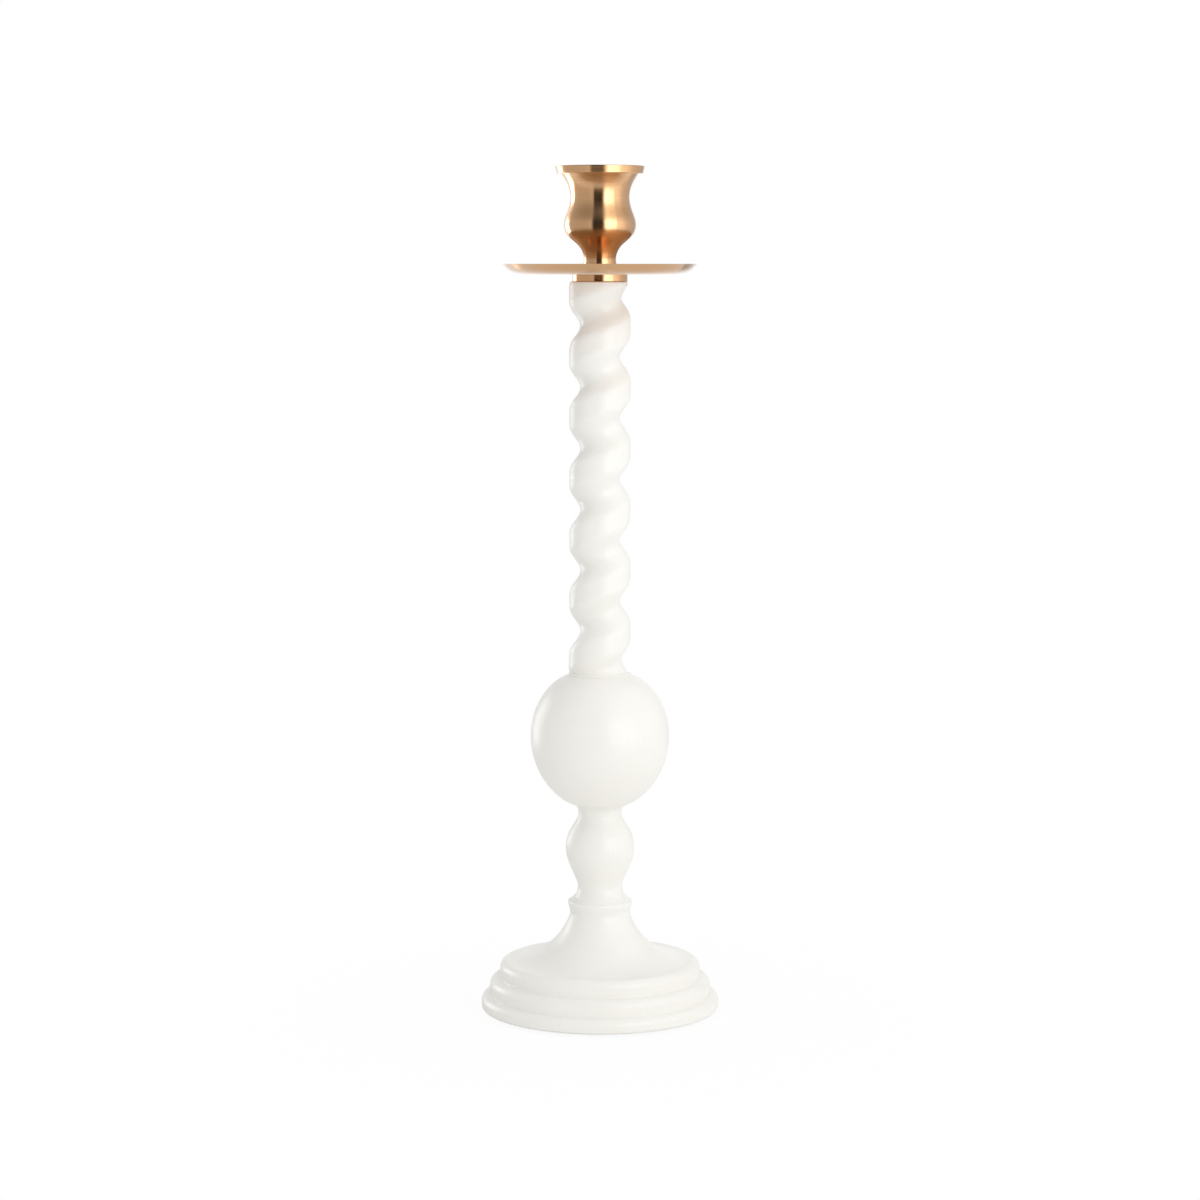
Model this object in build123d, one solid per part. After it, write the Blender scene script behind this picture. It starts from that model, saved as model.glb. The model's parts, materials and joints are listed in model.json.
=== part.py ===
from build123d import *
import os
from math import acos, cos, radians, sin, sqrt

# A candle holder for one dinner candle: a brass cup and drip plate on a wooden
# stand. The stand is a turned base, a turned spindle with a large ball, and a
# column cut as a single right-handed spiral. All sizes are in millimetres.
# The origin is at the middle of the felt underside and +Z points up.

# General
CUT_OVERRUN = 2.0
TURN_DEGREES = 360.0

# Threads, modelled as plain cylinders at their outer size
thread_radius = 3.0
thread_clearance = 0.05

# Threaded inserts pressed into the wood
insert_wall = 1.75
insert_length = 14.0
insert_depth = 0.4
insert_chamfer = 0.6

# Felt pad
felt_thickness = 2.0
felt_stand_out = 1.2
felt_margin = 5.0
felt_clearance = 0.25

# Stepped base
base_radius = 53.8
middle_step_setback = 3.8
top_step_setback = 4.6
bottom_step_height = 6.4
middle_step_height = 7.5
top_step_height = 7.8
step_round = 3.5
base_edge_round = 1.2
step_groove = 0.5
trumpet_height = 21.1
trumpet_foot_setback = 5.4
trumpet_top_margin = 0.5
trumpet_hollow = 5.0
ring_height = 6.4
ring_groove = 0.5
ring_lip_height = 3.0
ring_lip_bulge = 0.6
counterbore_margin = 2.0
counterbore_depth = 12.0
bolt_hole_clearance = 0.4

# Bolt and washer that hold the base to the spindle
bolt_engagement = 9.6
bolt_head_radius = 5.5
bolt_head_height = 4.0
bolt_head_sides = 6
washer_radius = 9.0
washer_thickness = 1.6
washer_clearance = 0.2

# Spindle: tenon, lower neck, baluster, upper neck and ball
tenon_radius = 8.0
tenon_length = 8.0
tenon_clearance = 0.1
tenon_end_clearance = 0.5
spindle_foot_radius = 13.2
spindle_foot_edge = 0.6
foot_cove_height = 5.6
lower_neck_radius = 10.0
baluster_height = 33.4
baluster_radius = 15.5
upper_neck_radius = 9.8
upper_neck_height = 1.4
ball_cove_height = 5.2
ball_radius = 31.3
ball_lower_height = 34.5
ball_upper_height = 31.8
ball_shoulder_height = 4.83
# Where the two half ellipses of the ball end, as shares of its radius
ball_foot_share = 0.53
ball_shoulder_share = 0.7
# Rise over run of the ball's side where it meets the column
ball_seat_slope_share = 0.4
BALL_STEPS = 6
baluster_belly_share = 0.54
# Points between a neck and the belly, as shares of the change in radius and in height
baluster_lower_shares = ((0.31, 0.30), (0.67, 0.55), (0.87, 0.72))
baluster_upper_shares = ((0.15, 0.35), (0.39, 0.545), (0.74, 0.75))

# Dowel between the ball and the spiral column
dowel_radius = 4.0
dowel_length = 40.0
dowel_chamfer = 0.8
dowel_end_clearance = 0.5

# Spiral column: an ellipse set off the axis and twisted as it rises
column_length = 175.8
spiral_offset = 2.45
spiral_depth_radius = 11.15
spiral_width_radius = 12.5
spiral_pitch = 27.27
spiral_start_degrees = 98.0
column_top_radius = 12.2
column_top_edge = 1.7
column_top_fade = 12.0
column_foot_radius = 14.0
column_foot_edge = 0.3
column_foot_fade = 7.6
# The radius in which a fade ends, as a share of the spiral's smallest, and an edge's round
column_fade_root_share = 0.97
column_edge_round_share = 0.3
stud_run_out = 3.0

# Collar, drip plate and the gap in which the plate turns
collar_stand_out = 0.2
collar_height = 3.3
collar_edge_round = 0.3
spigot_radius = 6.0
spigot_relief = 0.5
plate_radius = 43.5
plate_thickness = 1.2
plate_height = 4.6
plate_slope_width = 11.9
plate_rim_width = 2.6
plate_bend_height = 1.9
plate_bend_degrees = 30.0
plate_lip = 0.5
plate_hole_clearance = 0.08
turning_clearance = 0.1

# Candle cup
candle_diameter = 22.0
candle_clearance = 0.5
cup_height = 46.2
cup_foot_radius = 8.4
cup_neck_radius = 7.2
cup_neck_height = 5.6
cup_bulb_stand_out = 2.9
cup_bulb_height = 20.8
cup_waist_wall = 1.95
cup_waist_height = 32.3
cup_flare_stand_out = 4.1
flange_height = 3.4
flange_step = 2.0
flange_lean = 0.7
flange_land = 1.6
flange_edge_round = 0.3
bore_length = 20.0
mouth_depth = 8.0
# Points between two of the cup's sizes, as shares of the change in radius and in height
cup_bulb_shares = ((0.24, 0.35), (0.69, 0.58), (0.89, 0.72))
cup_waist_shares = ((0.65, 0.565),)
cup_flare_shares = ((0.15, 0.40), (0.56, 0.74))

# Stud that joins the cup to the column
stud_in_cup = 10.0
stud_in_column = 13.5
stud_chamfer = 0.5

# Radii that follow from the sizes above
insert_radius = thread_radius + insert_wall
counterbore_radius = washer_radius + counterbore_margin
middle_step_radius = base_radius - middle_step_setback
top_step_radius = middle_step_radius - top_step_setback
trumpet_foot_radius = top_step_radius - trumpet_foot_setback
trumpet_top_radius = spindle_foot_radius + trumpet_top_margin
collar_radius = column_top_radius + collar_stand_out
plate_bend_radius = plate_radius - plate_rim_width
plate_flat_radius = plate_bend_radius - plate_slope_width
bore_radius = (candle_diameter + candle_clearance) / 2
cup_waist_radius = bore_radius + cup_waist_wall
cup_bulb_radius = cup_waist_radius + cup_bulb_stand_out
cup_flare_radius = cup_waist_radius + cup_flare_stand_out
flange_foot_radius = cup_flare_radius + flange_step
flange_radius = flange_foot_radius + flange_lean

# Levels, from the floor up
base_bottom = felt_stand_out
washer_seat = felt_thickness + counterbore_depth
middle_step_level = base_bottom + bottom_step_height
top_step_level = middle_step_level + middle_step_height
disc_top = top_step_level + top_step_height
ring_bottom = disc_top + trumpet_height
spindle_bottom = ring_bottom + ring_height
lower_neck_level = spindle_bottom + spindle_foot_edge + foot_cove_height
upper_neck_level = lower_neck_level + baluster_height
ball_cove_level = upper_neck_level + upper_neck_height
ball_foot_level = ball_cove_level + ball_cove_height
ball_centre = ball_foot_level + ball_lower_height * sqrt(1 - ball_foot_share**2)
ball_shoulder_level = ball_centre + ball_upper_height * sqrt(1 - ball_shoulder_share**2)
column_bottom = ball_shoulder_level + ball_shoulder_height
column_top = column_bottom + column_length
plate_bottom = column_top + collar_height
cup_bottom = plate_bottom + plate_thickness + turning_clearance
cup_top = cup_bottom + cup_height
stud_top = column_top + spigot_relief + stud_in_cup
stud_bottom = column_top - stud_in_column


def between(start, end, shares):
    """Points between two (radius, height) points, each at its own shares of the way."""
    (start_radius, start_height), (end_radius, end_height) = start, end
    return [
        (
            start_radius + (end_radius - start_radius) * radius_share,
            start_height + (end_height - start_height) * height_share,
        )
        for radius_share, height_share in shares
    ]


def turned(*lines):
    """A solid of revolution about the upright axis.

    The lines run from the foot of the side to its top, in (radius, height),
    and the outline is closed along the two ends and the axis.
    """
    side = Curve() + list(lines)
    foot, top = lines[0] @ 0, lines[-1] @ 1
    ends = Polyline((top.X, top.Y), (0, top.Y), (0, foot.Y), (foot.X, foot.Y))
    return revolve(make_face(Plane.XZ * (side + ends)), Axis.Z)


def rod(radius, low, high):
    """An upright round rod on the axis, between two levels."""
    return Pos(0, 0, low) * extrude(Circle(radius), high - low)


def chamfered_rod(radius, low, high, edge):
    """An upright round rod with both end edges cut at 45 degrees."""
    outline = Polyline(
        (radius - edge, low), (radius, low + edge), (radius, high - edge), (radius - edge, high)
    )
    return turned(outline)


def felt_pad():
    """Felt disc, glued in a shallow recess under the base."""
    return rod(base_radius - felt_margin - felt_clearance, 0, felt_thickness)


def stepped_base():
    """Turned base: three round-edged steps, a trumpet-shaped foot and a ring."""
    middle_foot = middle_step_radius - step_groove
    top_foot = top_step_radius - step_groove
    steps = FilletPolyline(
        (base_radius - felt_margin, base_bottom),
        (base_radius, base_bottom),
        (base_radius, middle_step_level),
        (middle_foot, middle_step_level),
        (middle_foot, middle_step_level + step_groove),
        (middle_step_radius, middle_step_level + step_groove),
        (middle_step_radius, top_step_level),
        (top_foot, top_step_level),
        (top_foot, top_step_level + step_groove),
        (top_step_radius, top_step_level + step_groove),
        (top_step_radius, disc_top),
        (trumpet_foot_radius, disc_top),
        radius=[base_edge_round, step_round, 0, 0, 0, step_round, 0, 0, 0, step_round],
    )
    trumpet_top = (trumpet_top_radius, ring_bottom)
    trumpet = SagittaArc((trumpet_foot_radius, disc_top), trumpet_top, trumpet_hollow)
    groove_radius = trumpet_top_radius - ring_groove
    lip_level = spindle_bottom - ring_lip_height
    ring = Polyline(
        trumpet_top,
        (groove_radius, ring_bottom),
        (groove_radius, ring_bottom + ring_groove),
        (trumpet_top_radius, ring_bottom + ring_groove),
        (trumpet_top_radius + ring_groove, lip_level),
    )
    lip = SagittaArc(
        (trumpet_top_radius + ring_groove, lip_level),
        (trumpet_top_radius + ring_groove, spindle_bottom),
        -ring_lip_bulge,
    )
    body = turned(steps, trumpet, ring, lip)
    felt_recess = rod(base_radius - felt_margin, base_bottom - CUT_OVERRUN, felt_thickness)
    socket_bottom = spindle_bottom - tenon_length - tenon_end_clearance
    socket = rod(tenon_radius + tenon_clearance, socket_bottom, spindle_bottom + CUT_OVERRUN)
    counterbore = rod(counterbore_radius, 0, washer_seat)
    bolt_hole = rod(thread_radius + bolt_hole_clearance, 0, spindle_bottom)
    return body - felt_recess - socket - counterbore - bolt_hole


def base_washer():
    """Flat washer under the head of the bolt."""
    washer_bottom = washer_seat - washer_thickness
    disc = rod(washer_radius, washer_bottom, washer_seat)
    hole_radius = thread_radius + washer_clearance
    return disc - rod(hole_radius, washer_bottom - CUT_OVERRUN, washer_seat + CUT_OVERRUN)


def base_bolt():
    """Hexagon bolt that pulls the base up against the spindle."""
    seat = washer_seat - washer_thickness
    bolt_end = spindle_bottom - tenon_length + insert_depth + bolt_engagement
    head_face = RegularPolygon(bolt_head_radius, bolt_head_sides)
    head = Pos(0, 0, seat - bolt_head_height) * extrude(head_face, bolt_head_height)
    shank = chamfered_rod(thread_radius, seat - bolt_head_height, bolt_end, stud_chamfer)
    return head + shank


def threaded_insert(low):
    """Brass insert with a threaded bore, from the given level up."""
    sleeve = chamfered_rod(insert_radius, low, low + insert_length, insert_chamfer)
    bore_radius = thread_radius + thread_clearance
    return sleeve - rod(bore_radius, low - CUT_OVERRUN, low + insert_length + CUT_OVERRUN)


def spindle_insert():
    """Insert in the end of the tenon, for the base bolt."""
    return threaded_insert(spindle_bottom - tenon_length + insert_depth)


def column_insert():
    """Insert in the top of the spiral column, for the cup's stud."""
    return threaded_insert(column_top - insert_depth - insert_length)


def ball_points():
    """Side of the ball: a lower and an upper half ellipse that meet where it is widest."""
    points = []
    for step in range(-BALL_STEPS, BALL_STEPS + 1):
        end_share = ball_foot_share if step < 0 else ball_shoulder_share
        half_height = ball_lower_height if step < 0 else ball_upper_height
        angle = acos(end_share) * step / BALL_STEPS
        points.append((ball_radius * cos(angle), ball_centre + half_height * sin(angle)))
    return points


def ellipse_tangent(end_share, half_height, side):
    """Upward direction of the ball's side where its radius is a share of the widest.

    The side is -1 under the widest level and 1 over it.
    """
    return (-side * ball_radius * sqrt(1 - end_share**2), half_height * end_share)


def ball_spindle():
    """Turned spindle: tenon, foot cove, baluster, neck and ball in one piece."""
    tenon_bottom = spindle_bottom - tenon_length
    tenon = Polyline(
        (tenon_radius, tenon_bottom),
        (tenon_radius, spindle_bottom),
        (spindle_foot_radius, spindle_bottom),
        (spindle_foot_radius, spindle_bottom + spindle_foot_edge),
    )
    lower_neck = (lower_neck_radius, lower_neck_level)
    foot_edge = (spindle_foot_radius, spindle_bottom + spindle_foot_edge)
    foot_cove = TangentArc(lower_neck, foot_edge, tangent=(0, -1))
    belly = (baluster_radius, lower_neck_level + baluster_height * baluster_belly_share)
    upper_neck = (upper_neck_radius, upper_neck_level)
    baluster = Spline(
        lower_neck,
        *between(lower_neck, belly, baluster_lower_shares),
        belly,
        *between(belly, upper_neck, baluster_upper_shares),
        upper_neck,
        tangents=[(0, 1), (0, 1)],
    )
    points = ball_points()
    foot_tangent = ellipse_tangent(ball_foot_share, ball_lower_height, -1)
    shoulder_tangent = ellipse_tangent(ball_shoulder_share, ball_upper_height, 1)
    neck_top = (upper_neck_radius, ball_cove_level)
    neck = Line(upper_neck, neck_top)
    ball_cove = Spline(neck_top, points[0], tangents=[(0, 1), foot_tangent])
    ball = Spline(*points, tangents=[foot_tangent, shoulder_tangent])
    seat_edge = (column_foot_radius, column_bottom)
    seat_tangent = (-1, ball_seat_slope_share)
    shoulder = Spline(points[-1], seat_edge, tangents=[shoulder_tangent, seat_tangent])
    body = turned(tenon, foot_cove, baluster, neck, ball_cove, ball, shoulder)
    hole_bottom = column_bottom - dowel_length / 2 - dowel_end_clearance
    dowel_hole = rod(dowel_radius, hole_bottom, column_bottom + CUT_OVERRUN)
    insert_top = tenon_bottom + insert_depth + insert_length
    insert_hole = rod(insert_radius, tenon_bottom - CUT_OVERRUN, insert_top)
    return body - dowel_hole - insert_hole


def column_dowel():
    """Wooden dowel glued half into the ball and half into the column."""
    low = column_bottom - dowel_length / 2
    return chamfered_rod(dowel_radius, low, low + dowel_length, dowel_chamfer)


def fading_end(end_level, end_radius, edge_height, fade_height, direction):
    """Round end of the column, sweeping in a hollow into the groove of the spiral.

    The direction is 1 for an end that points up and -1 for one that points down.
    """
    root_radius = (spiral_depth_radius - spiral_offset) * column_fade_root_share
    root = (root_radius, end_level - direction * fade_height)
    fade_end = (end_radius, end_level - direction * edge_height)
    fade = TangentArc(root, fade_end, tangent=(0, direction))
    edge = FilletPolyline(
        fade_end,
        (end_radius, end_level),
        (root_radius, end_level),
        radius=edge_height * column_edge_round_share,
    )
    return turned(fade, edge)


def spiral_column():
    """Column with one right-handed spiral, faded out into a round top and foot."""
    section = Pos(spiral_offset, 0, 0) * Ellipse(spiral_depth_radius, spiral_width_radius)
    placed = Pos(0, 0, column_bottom) * Rot(0, 0, spiral_start_degrees) * section
    twist = TURN_DEGREES * column_length / spiral_pitch
    spiral = Solid.extrude_linear_with_rotation(
        placed.face(), (0, 0, column_bottom), (0, 0, column_length), twist
    )
    body = spiral + fading_end(column_top, column_top_radius, column_top_edge, column_top_fade, 1)
    body += fading_end(column_bottom, column_foot_radius, column_foot_edge, column_foot_fade, -1)
    dowel_top = column_bottom + dowel_length / 2 + dowel_end_clearance
    dowel_hole = rod(dowel_radius, column_bottom - CUT_OVERRUN, dowel_top)
    insert_bottom = column_top - insert_depth - insert_length
    insert_hole = rod(insert_radius, insert_bottom, column_top + CUT_OVERRUN)
    stud_hole_radius = thread_radius + bolt_hole_clearance
    stud_hole = rod(stud_hole_radius, stud_bottom - stud_run_out, column_top)
    return body - dowel_hole - insert_hole - stud_hole


def collar():
    """Brass collar pressed on the cup's spigot, between the column and the plate."""
    outline = FilletPolyline(
        (spigot_radius, column_top),
        (collar_radius, column_top),
        (collar_radius, plate_bottom),
        (spigot_radius, plate_bottom),
        radius=collar_edge_round,
    )
    return turned(outline) - rod(spigot_radius, column_top - CUT_OVERRUN, plate_bottom + CUT_OVERRUN)


def dish_points(thickness, rim_radius):
    """Points of one face of the drip plate, a thickness above its underside."""
    slope = radians(plate_bend_degrees)
    return [
        (plate_flat_radius, plate_bottom + thickness),
        (
            plate_bend_radius - thickness * sin(slope),
            plate_bottom + plate_bend_height + thickness * cos(slope),
        ),
        (rim_radius, plate_bottom + plate_height),
    ]


def drip_plate():
    """Shallow brass dish that catches the wax, with a thin flat rim."""
    under_points = dish_points(0, plate_radius)
    over_points = dish_points(plate_thickness, plate_radius - plate_lip)
    under = Spline(*under_points, tangents=[(1, 0), (1, 1)])
    rim = Line(under_points[-1], over_points[-1])
    over = Spline(*reversed(over_points), tangents=[(-1, -1), (-1, 0)])
    dish = turned(under, rim, over)
    hole_radius = spigot_radius + plate_hole_clearance
    return dish - rod(hole_radius, plate_bottom - CUT_OVERRUN, cup_bottom + CUT_OVERRUN)


def candle_cup():
    """Brass cup: spigot, foot, bulb, waist and flange, bored for the candle."""
    foot = (cup_foot_radius, cup_bottom)
    neck = (cup_neck_radius, cup_bottom + cup_neck_height)
    bulb = (cup_bulb_radius, cup_bottom + cup_bulb_height)
    waist = (cup_waist_radius, cup_bottom + cup_waist_height)
    flare = (cup_flare_radius, cup_top - flange_height)
    side = Spline(
        foot,
        neck,
        *between(neck, bulb, cup_bulb_shares),
        bulb,
        *between(bulb, waist, cup_waist_shares),
        waist,
        *between(waist, flare, cup_flare_shares),
        flare,
    )
    mouth_radius = flange_radius - flange_land
    flange = FilletPolyline(
        flare,
        (flange_foot_radius, cup_top - flange_height),
        (flange_radius, cup_top),
        (mouth_radius, cup_top),
        radius=flange_edge_round,
    )
    spigot = rod(spigot_radius, column_top + spigot_relief, cup_bottom)
    body = turned(side, flange) + spigot
    bore_top = cup_top - mouth_depth
    bore = Line((bore_radius, bore_top - bore_length), (bore_radius, bore_top))
    mouth = TangentArc((bore_radius, bore_top), (mouth_radius, cup_top), tangent=(0, 1))
    opening = Line((mouth_radius, cup_top), (mouth_radius, cup_top + CUT_OVERRUN))
    stud_hole = rod(thread_radius, column_top, stud_top)
    return body - turned(bore, mouth, opening) - stud_hole


def cup_stud():
    """Threaded stud, fixed in the cup and screwed into the column's insert."""
    return chamfered_rod(thread_radius, stud_bottom, stud_top, stud_chamfer)


PIECES = {
    "felt_pad": felt_pad,
    "stepped_base": stepped_base,
    "base_washer": base_washer,
    "base_bolt": base_bolt,
    "spindle_insert": spindle_insert,
    "ball_spindle": ball_spindle,
    "column_dowel": column_dowel,
    "spiral_column": spiral_column,
    "column_insert": column_insert,
    "collar": collar,
    "drip_plate": drip_plate,
    "candle_cup": candle_cup,
    "cup_stud": cup_stud,
}

os.makedirs("parts", exist_ok=True)
for name, make in PIECES.items():
    export_step(make(), f"parts/{name}.step")
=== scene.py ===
import json
from math import atan2, ceil, cos, hypot, pi, radians, sin, tan

import bpy
import numpy as np
from bpy.props import FloatProperty, FloatVectorProperty, IntProperty, PointerProperty
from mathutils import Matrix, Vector


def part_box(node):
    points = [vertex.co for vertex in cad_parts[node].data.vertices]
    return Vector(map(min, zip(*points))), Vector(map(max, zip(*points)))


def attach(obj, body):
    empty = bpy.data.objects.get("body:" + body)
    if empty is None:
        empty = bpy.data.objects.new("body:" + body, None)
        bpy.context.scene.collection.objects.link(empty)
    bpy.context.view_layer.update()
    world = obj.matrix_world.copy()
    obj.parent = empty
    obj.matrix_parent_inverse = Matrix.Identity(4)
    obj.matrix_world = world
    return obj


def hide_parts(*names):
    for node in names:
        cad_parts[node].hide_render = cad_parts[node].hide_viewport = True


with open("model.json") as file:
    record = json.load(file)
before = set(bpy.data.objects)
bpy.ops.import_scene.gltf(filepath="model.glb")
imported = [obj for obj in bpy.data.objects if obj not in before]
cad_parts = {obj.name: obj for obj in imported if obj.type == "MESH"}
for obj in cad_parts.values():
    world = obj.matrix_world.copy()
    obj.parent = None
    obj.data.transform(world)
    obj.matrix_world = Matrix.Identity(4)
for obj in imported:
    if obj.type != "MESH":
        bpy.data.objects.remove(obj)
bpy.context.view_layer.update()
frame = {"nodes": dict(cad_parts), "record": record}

bl_info = {
    "name": "Spiral Candle Holder",
    "version": (1, 0, 0),
    "blender": (4, 5, 0),
    "location": "View3D > Sidebar > Candle Holder",
    "description": "White lacquered candle holder with a carved spiral and a satin brass cup",
    "category": "Add Mesh",
}

# Outlines are drawn in millimetres as (radius, height) and turned into metres in the mesh.
MM = 0.001
SPANS = {name: np.array([list(corner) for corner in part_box(name)]) / MM for name in frame["nodes"]}
BODIES = {
    node: body
    for body, nodes in frame["record"]["behaviour"]["bodies"].items()
    for node in nodes
}

# Radii and gaps that more than one piece shares, in millimetres.
COLUMN_SEAT = 14.0
DOWEL_BORE = 4.0
DOWEL_GAP = 0.5
INSERT_BORE = 4.75
SCREW_HOLE = 3.4
SPIGOT = 6.0

# Threads: crest radius of the bolt and the stud and depth of every thread, in millimetres,
# and rows of points in one pitch.
THREAD_CREST = 3.0
THREAD_DEPTH = 0.55
THREAD_ROWS = 12


def low(node):
    """Height of the underside of a CAD node."""
    return float(SPANS[node][0][2])


def high(node):
    """Height of the top of a CAD node."""
    return float(SPANS[node][1][2])


def girth(node):
    """Largest radius of a CAD node."""
    return float(SPANS[node][1][0])


def extent(node):
    """Underside, top and largest radius of a CAD node."""
    return low(node), high(node), girth(node)


# ---- sizes, colours and light that a user would change ----


def length(name, description, default, precision=4):
    """A size in metres, shown in the scene's own unit."""
    return FloatProperty(
        name=name, description=description, default=default, unit="LENGTH", precision=precision
    )


def tint(name, description, default):
    """The colour of a finish."""
    return FloatVectorProperty(
        name=name, description=description, default=default, subtype="COLOR"
    )


def dullness(name, description, default):
    """A roughness from 0, like a mirror, to 1, fully matt."""
    return FloatProperty(
        name=name, description=description, default=default, min=0, max=1, subtype="FACTOR"
    )


def brightness(name, description, default):
    """A brightness, where 1 lights a matt white to white."""
    return FloatProperty(name=name, description=description, default=default, min=0)


class CandleHolderSizes(bpy.types.PropertyGroup):
    """Sizes of the visible forms; those that the frame gives start from it."""

    base_radius: length("Base radius", "Radius of the lowest step", girth("stepped_base") * MM)
    middle_step_radius: length("Middle step radius", "Radius of the second step", 0.0500)
    top_step_radius: length("Top step radius", "Radius of the third step", 0.0454)
    baluster_radius: length("Baluster radius", "Largest radius of the baluster", 0.0155)
    ball_radius: length("Ball radius", "Largest radius of the ball", girth("ball_spindle") * MM)
    spiral_pitch: length("Spiral pitch", "Rise of the spiral in one turn", 0.02727, 5)
    spiral_offset: length(
        "Spiral offset", "How far the section of the spiral stands off the axis", 0.00245, 5
    )
    spiral_start: FloatProperty(
        name="Spiral start",
        description="Direction of the spiral at the foot of the column",
        default=radians(98.0),
        subtype="ANGLE",
    )
    plate_radius: length("Plate radius", "Outer radius of the plate", girth("drip_plate") * MM)
    candle_diameter: length("Candle diameter", "Diameter of the candle in the cup", 0.022)
    thread_pitch: length("Thread pitch", "Pitch of the stud, the bolt and the inserts", 0.001, 5)
    dowel_flutes: IntProperty(
        name="Dowel flutes", description="Glue grooves round the dowel", default=24, min=6
    )


class CandleHolderFinishes(bpy.types.PropertyGroup):
    """Colours and gloss of the finishes."""

    lacquer_colour: tint("Lacquer", "Warm white of the lacquered wood", (0.908, 0.899, 0.861))
    lacquer_roughness: dullness("Lacquer roughness", "Roughness of the satin lacquer", 0.38)
    brass_colour: tint("Brass", "Colour of the satin brass", (0.800, 0.446, 0.198))
    brass_roughness: dullness("Brass roughness", "Roughness of the turned brass", 0.20)
    insert_colour: tint("Insert brass", "Colour of the machined brass", (0.780, 0.560, 0.260))
    wood_colour: tint("Bare wood", "Colour of the unfinished beech", (0.560, 0.360, 0.200))
    steel_colour: tint("Zinc steel", "Colour of the zinc-plated steel", (0.560, 0.575, 0.600))
    felt_colour: tint("Felt", "Colour of the felt under the base", (0.030, 0.033, 0.046))


class CandleHolderStudio(bpy.types.PropertyGroup):
    """Brightness of the studio."""

    room_level: brightness("Room", "Walls of the studio in reflections", 0.57)
    fill_level: brightness("Fill", "Soft light that comes from all sides", 1.10)
    right_box_level: brightness("Right box", "Large soft box at the right", 0.9)
    left_strip_level: brightness("Left strip", "Strip box at the far left", 3.0)


# ---- outlines in (radius, height) ----


def rounded(corners, rounds, steps=6):
    """Straight runs with rounded corners.

    Each round is a circle that touches both runs. Its points are the arms from its centre to
    the two touching points, blended by the sines of the angle left and of the angle done.
    """
    corners = np.asarray(corners, float)
    share = np.linspace(0, 1, steps + 1)[:, None]
    parts = [corners[:1]]
    for before, corner, after, radius in zip(corners, corners[1:], corners[2:], rounds):
        back = (before - corner) / np.linalg.norm(before - corner)
        ahead = (after - corner) / np.linalg.norm(after - corner)
        turn = pi - np.arccos(np.clip(back @ ahead, -1, 1))
        if radius == 0:
            parts.append(corner[None])
            continue
        middle = (back + ahead) / np.linalg.norm(back + ahead)
        centre = corner + middle * radius / cos(turn / 2)
        first = corner + back * radius * tan(turn / 2) - centre
        last = corner + ahead * radius * tan(turn / 2) - centre
        arms = (np.sin((1 - share) * turn) * first + np.sin(share * turn) * last) / sin(turn)
        parts.append(centre + arms)
    return np.vstack(parts + [corners[-1:]])


def bowed(start, end, bow, steps=24):
    """Circular arc between two points.

    The bow is the arc's greatest distance from its chord, positive on the right of the way it
    runs. The half angle is twice the arc tangent of bow over half chord.
    """
    start, end = np.array(start, float), np.array(end, float)
    half = (end - start) / 2
    reach = np.hypot(*half)
    radius = (reach**2 + bow**2) / (2 * abs(bow))
    spread = 2 * np.arctan(abs(bow) / reach)
    angle = np.linspace(-spread, spread, steps + 1)[:, None]
    along = half / reach
    side = np.array((along[1], -along[0])) * np.sign(bow)
    rise = radius * np.cos(angle) - radius + abs(bow)
    return start + half + along * radius * np.sin(angle) + side * rise


def leaving(start, end, direction, steps=16):
    """Circular arc that leaves its start in a given direction.

    Its bow is half the chord times the tangent of half the angle from chord to direction.
    """
    chord = (end[0] - start[0], end[1] - start[1])
    across = chord[0] * direction[1] - chord[1] * direction[0]
    turn = atan2(across, chord[0] * direction[0] + chord[1] * direction[1])
    return bowed(start, end, -hypot(*chord) / 2 * tan(turn / 2), steps)


def flowing(points, start=None, end=None, steps=10):
    """Smooth curve through points: cubic pieces that share slope and bend where they meet.

    The chords are the parameter. The slopes solve one equation for each point; a given end
    direction is kept, and a free end has no bend.
    """
    points = np.asarray(points, float)
    chord = np.hypot(*np.diff(points, axis=0).T)
    rise = np.diff(points, axis=0) / chord[:, None] ** 2
    count = len(points)
    system, known = np.zeros((count, count)), np.zeros((count, 2))
    inner = np.arange(1, count - 1)
    system[inner, inner - 1] = 1 / chord[:-1]
    system[inner, inner] = 2 / chord[:-1] + 2 / chord[1:]
    system[inner, inner + 1] = 1 / chord[1:]
    known[inner] = 3 * (rise[:-1] + rise[1:])
    for row, other, direction in ((0, 1, start), (-1, -2, end)):
        system[row, row] = 1 if direction else 2
        if direction:
            known[row] = np.array(direction) / hypot(*direction)
        else:
            system[row, other] = 1
            known[row] = 3 * rise[row] * chord[row]
    slope = np.linalg.solve(system, known)[:, None]
    t = (np.arange(steps) / steps)[None, :, None]
    span = chord[:, None, None]
    near, far = points[:-1, None], points[1:, None]
    curve = near * (2 * t**3 - 3 * t**2 + 1) + far * (3 * t**2 - 2 * t**3)
    curve = curve + span * (slope[:-1] * (t**3 - 2 * t**2 + t) + slope[1:] * (t**3 - t**2))
    return np.vstack([curve.reshape(-1, 2), points[-1:]])


def passing(first, *rest):
    """Points with others between them: lists of shares and points by turns.

    Each pair of shares puts a point at those shares of the change in radius and in height.
    """
    points = [first]
    for shares, target in zip(rest[::2], rest[1::2]):
        start = np.array(points[-1], float)
        points += [tuple(start + (np.array(target) - start) * share) for share in shares]
        points.append(target)
    return points


def stairs(start, *turns, level=False):
    """Corners of a path that runs upright and level by turns.

    Each turn is the height where an upright run ends, or the radius where a level run ends.
    """
    corners = [start]
    for turn in turns:
        radius, height = corners[-1]
        corners.append((turn, height) if level else (radius, turn))
        level = not level
    return corners


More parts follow.
